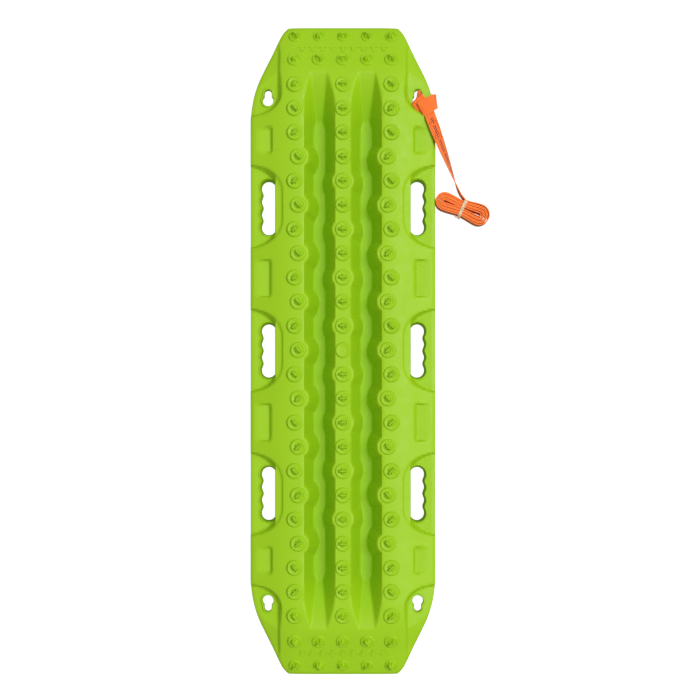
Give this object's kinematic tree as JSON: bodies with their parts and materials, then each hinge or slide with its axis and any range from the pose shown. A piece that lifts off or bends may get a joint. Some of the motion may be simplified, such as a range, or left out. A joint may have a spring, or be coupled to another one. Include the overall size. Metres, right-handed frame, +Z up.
{
  "type": "vehicle recovery traction board",
  "caption": "One-piece moulded traction board with studded ridges, two wheel channels, handle slots and a hanked webbing leash.",
  "frame": {"origin": "middle of the board's footprint on the ground plane, under the middle of its length and width; the leash is left out", "axes": "+Y along the board's length towards the leash end, +X across it towards the side with the leash, +Z up out of the studded top face"},
  "size_m": [0.4223, 1.15, 0.061],
  "materials": {
    "board_nylon": "lime green moulded nylon, fine satin texture",
    "webbing": "orange woven polyester tape",
    "thread": "orange sewing thread",
    "rubber_band": "natural rubber, matt"
  },
  "bodies": {
    "board": {"board": "board_nylon", "leash_hitch": "webbing"},
    "leash": {"leash_run": "webbing", "eye_stitching": "thread", "leash_hank": "webbing", "hank_band": "rubber_band"}
  },
  "joints": [
    {"name": "leash_swing", "type": "hinge", "parent": "board", "child": "leash", "pos_m": [0.151, 0.419, 0.0348], "axis": [0, 0, 1], "range_deg": [0, 50]}
  ]
}
